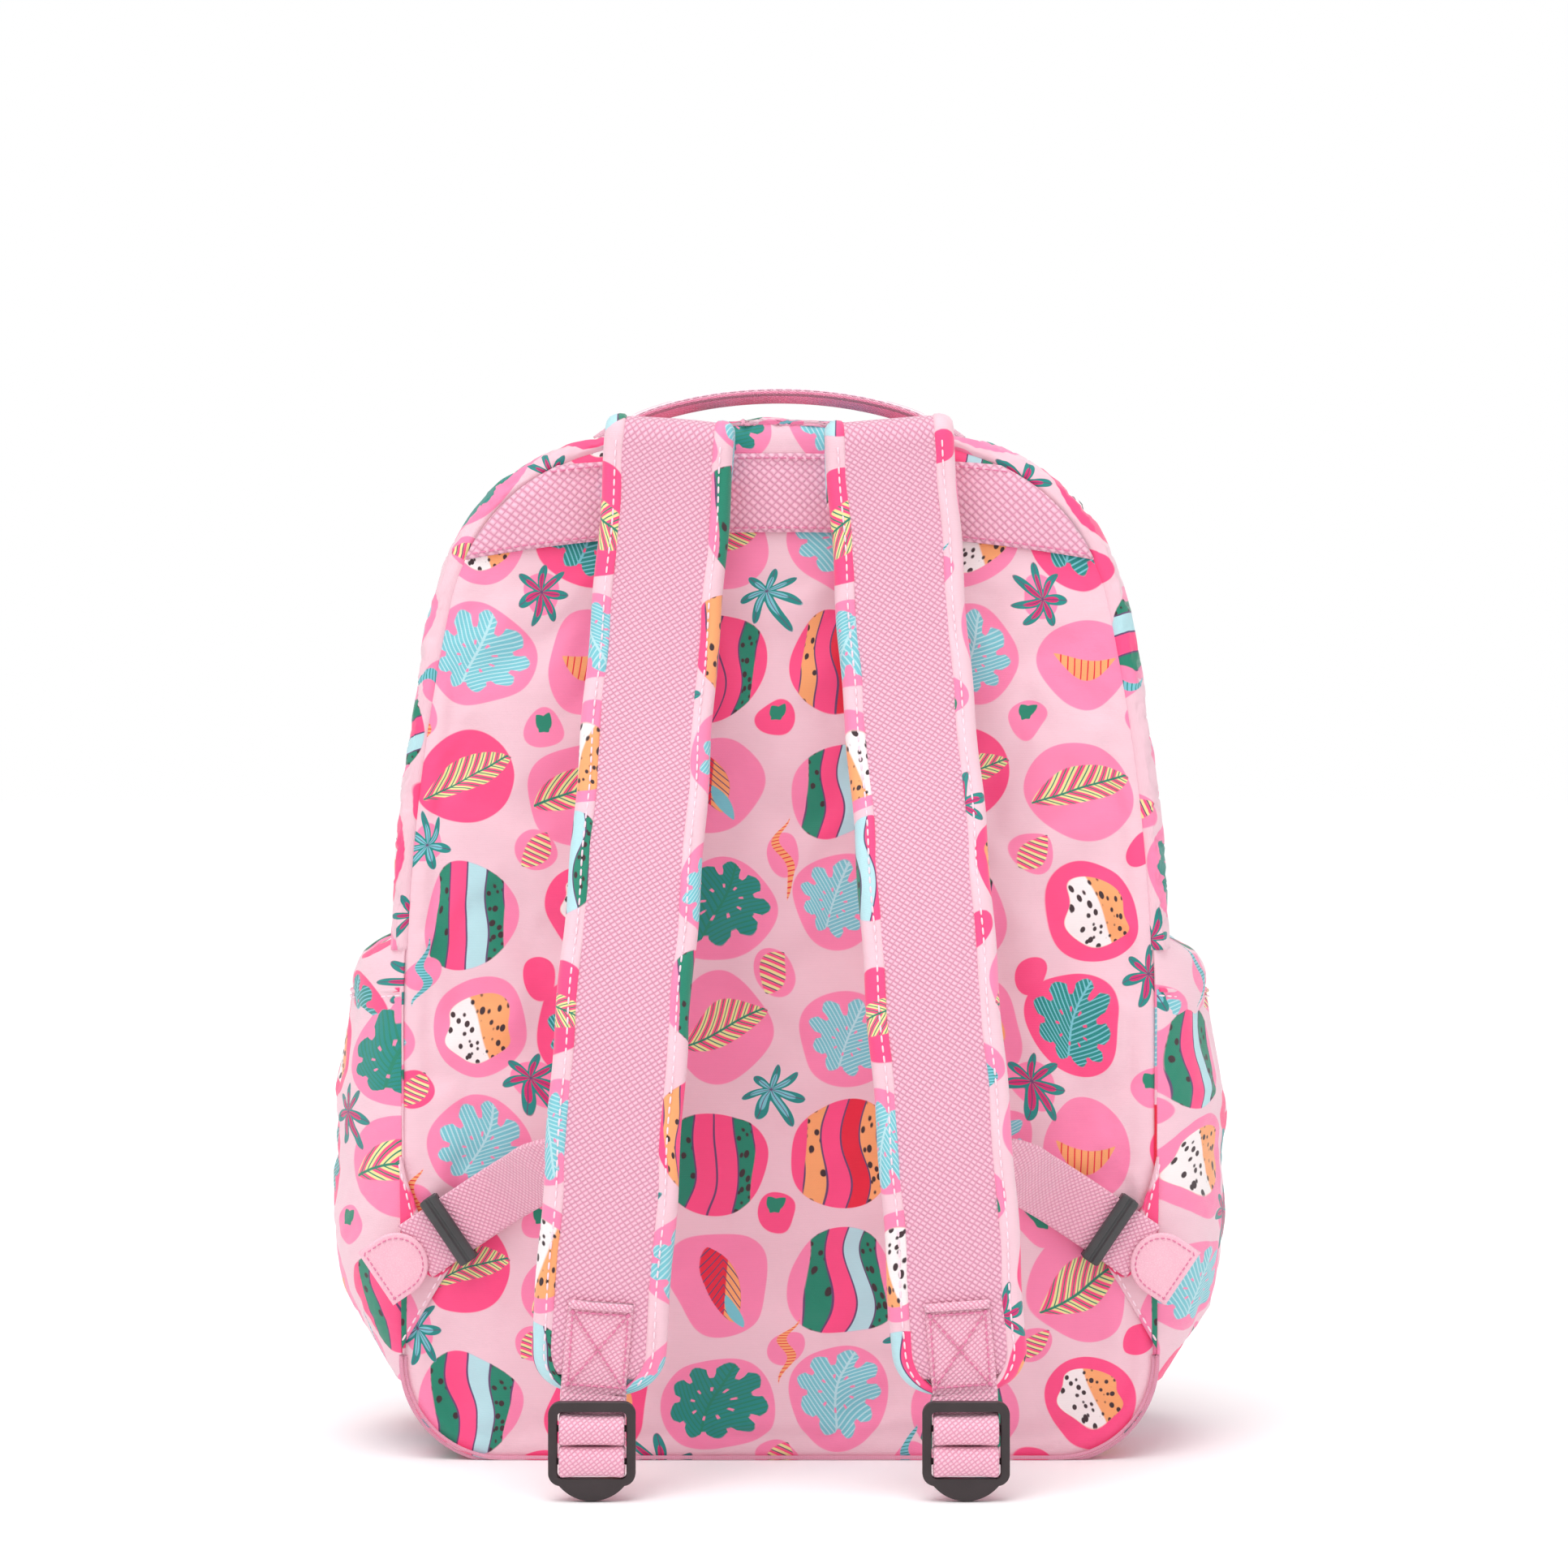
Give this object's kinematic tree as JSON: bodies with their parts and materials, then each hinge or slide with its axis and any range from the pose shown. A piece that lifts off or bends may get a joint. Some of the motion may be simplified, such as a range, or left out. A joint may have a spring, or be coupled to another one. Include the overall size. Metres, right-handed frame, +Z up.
{
  "type": "school backpack",
  "caption": "School backpack with padded shoulder straps, webbing adjusters, zipped front flap, side pockets and a webbing grab handle.",
  "frame": {"origin": "under the middle of the body's width, on the flat base, at the depth where the body's front and back halves meet near the middle", "axes": "+Z up, +X to the right when looking at the shoulder straps, the straps on the -Y side and the front pockets on the +Y side"},
  "size_m": [0.3798, 0.2802, 0.4545],
  "materials": {
    "printed_fabric": "fine plain weave polyester with a tropical print",
    "webbing": "coarse woven webbing",
    "lining": "plain woven lining",
    "foam": "soft foam",
    "board": "stiff sheet",
    "zip_tape": "woven zip tape",
    "zip_coil": "nylon coil",
    "zip_metal": "dark enamel",
    "elastic": "ribbed elastic",
    "vinyl": "smooth coated vinyl",
    "buckle_plastic": "moulded nylon"
  },
  "bodies": {
    "root": {"back_panel": "printed_fabric", "back_foam": "foam", "back_lining": "lining", "laptop_sleeve": "lining", "top_gusset_rear": "printed_fabric", "zip_tape_rear": "zip_tape", "zip_coil_rear": "zip_coil", "side_panel_left": "printed_fabric", "side_panel_right": "printed_fabric", "bottom_panel": "printed_fabric", "base_board": "board", "front_panel_lower": "printed_fabric", "side_pocket_left": "printed_fabric", "side_pocket_right": "printed_fabric", "pocket_elastic_left": "elastic", "pocket_elastic_right": "elastic", "yoke_webbing": "webbing", "strap_root_left": "printed_fabric", "strap_root_right": "printed_fabric", "side_wing_left": "printed_fabric", "side_wing_right": "printed_fabric", "lower_webbing_left": "webbing", "lower_webbing_right": "webbing", "webbing_tip_left": "vinyl", "webbing_tip_right": "vinyl", "handle_end_left": "webbing", "handle_end_right": "webbing", "lower_pocket_shell": "printed_fabric", "lower_pocket_zip": "zip_coil"},
    "flap": {"front_panel_upper": "printed_fabric", "top_gusset_front": "printed_fabric", "zip_tape_front": "zip_tape", "zip_coil_front": "zip_coil", "upper_pocket_shell": "printed_fabric", "upper_pocket_zip": "zip_coil"},
    "main_slider_left": {"main_slider_left": "zip_metal"},
    "main_slider_right": {"main_slider_right": "zip_metal"},
    "main_puller_left": {"main_puller_left": "zip_metal"},
    "main_puller_right": {"main_puller_right": "zip_metal"},
    "lower_pocket_slider": {"lower_pocket_slider": "zip_metal"},
    "lower_pocket_puller": {"lower_pocket_puller": "zip_metal"},
    "upper_pocket_slider": {"upper_pocket_slider": "zip_metal"},
    "upper_pocket_puller": {"upper_pocket_puller": "zip_metal"},
    "strap_left": {"strap_pad_left": "printed_fabric", "strap_webbing_left": "webbing", "strap_tab_left": "webbing", "webbing_run_left": "webbing"},
    "strap_right": {"strap_pad_right": "printed_fabric", "strap_webbing_right": "webbing", "strap_tab_right": "webbing", "webbing_run_right": "webbing"},
    "lock_left": {"ladder_lock_left": "buckle_plastic", "adjuster_loop_left": "webbing"},
    "lock_right": {"ladder_lock_right": "buckle_plastic", "adjuster_loop_right": "webbing"},
    "keeper_left": {"keeper_left": "buckle_plastic"},
    "keeper_right": {"keeper_right": "buckle_plastic"},
    "handle": {"grab_handle": "webbing"}
  },
  "joints": [
    {"name": "flap_open", "type": "hinge", "parent": "root", "child": "flap", "pos_m": [0, 0.0735, 0.222], "axis": [-1, 0, 0], "range_deg": [0, 55]},
    {"name": "main_slider_travel_left", "type": "hinge", "parent": "root", "child": "main_slider_left", "pos_m": [0, 0.015, 0.178], "axis": [0, -1, 0], "range_deg": [0, 14.5]},
    {"name": "main_puller_lift_left", "type": "hinge", "parent": "main_slider_left", "child": "main_puller_left", "pos_m": [-0.01386, 0.015, 0.44254], "axis": [0, 1, 0], "range_deg": [0, 110]},
    {"name": "strap_swing_left", "type": "hinge", "parent": "root", "child": "strap_left", "pos_m": [-0.0457, -0.073, 0.428], "axis": [-0.9974, 0, 0.0715], "range_deg": [0, 12]},
    {"name": "lock_tilt_left", "type": "hinge", "parent": "strap_left", "child": "lock_left", "pos_m": [-0.0743, -0.15274, 0.029], "axis": [1, 0, 0], "range_deg": [-8, 8]},
    {"name": "keeper_slide_left", "type": "slide", "parent": "root", "child": "keeper_left", "axis": [0.829, 0, 0.5592], "range_m": [0, 0.012]},
    {"name": "main_slider_travel_right", "type": "hinge", "parent": "root", "child": "main_slider_right", "pos_m": [0, 0.015, 0.178], "axis": [0, 1, 0], "range_deg": [0, 14.5]},
    {"name": "main_puller_lift_right", "type": "hinge", "parent": "main_slider_right", "child": "main_puller_right", "pos_m": [0.01386, 0.015, 0.44254], "axis": [0, -1, 0], "range_deg": [0, 110]},
    {"name": "strap_swing_right", "type": "hinge", "parent": "root", "child": "strap_right", "pos_m": [0.0457, -0.073, 0.428], "axis": [-0.9974, 0, -0.0715], "range_deg": [0, 12]},
    {"name": "lock_tilt_right", "type": "hinge", "parent": "strap_right", "child": "lock_right", "pos_m": [0.0743, -0.15274, 0.029], "axis": [1, 0, 0], "range_deg": [-8, 8]},
    {"name": "keeper_slide_right", "type": "slide", "parent": "root", "child": "keeper_right", "axis": [-0.829, 0, 0.5592], "range_m": [0, 0.012]},
    {"name": "handle_flop", "type": "hinge", "parent": "root", "child": "handle", "pos_m": [0, -0.036, 0.4395], "axis": [1, 0, 0], "range_deg": [-30, 30], "stiffness_Nm_per_rad": 0.05},
    {"name": "lower_pocket_zip", "type": "slide", "parent": "root", "child": "lower_pocket_slider", "axis": [1, 0, 0], "range_m": [0, 0.164]},
    {"name": "lower_pocket_puller_lift", "type": "hinge", "parent": "lower_pocket_slider", "child": "lower_pocket_puller", "pos_m": [-0.082, 0.1226, 0.174], "axis": [1, 0, 0], "range_deg": [-3, 150]},
    {"name": "upper_pocket_zip", "type": "slide", "parent": "flap", "child": "upper_pocket_slider", "axis": [1, 0, 0], "range_m": [0, 0.112]},
    {"name": "upper_pocket_puller_lift", "type": "hinge", "parent": "upper_pocket_slider", "child": "upper_pocket_puller", "pos_m": [-0.056, 0.0946, 0.362], "axis": [1, 0, 0], "range_deg": [-3, 150]}
  ],
  "couplings": [
    {"joint": "main_slider_travel_left", "follows": "flap_open", "ratio": 0.26363},
    {"joint": "main_slider_travel_right", "follows": "flap_open", "ratio": 0.26363}
  ]
}
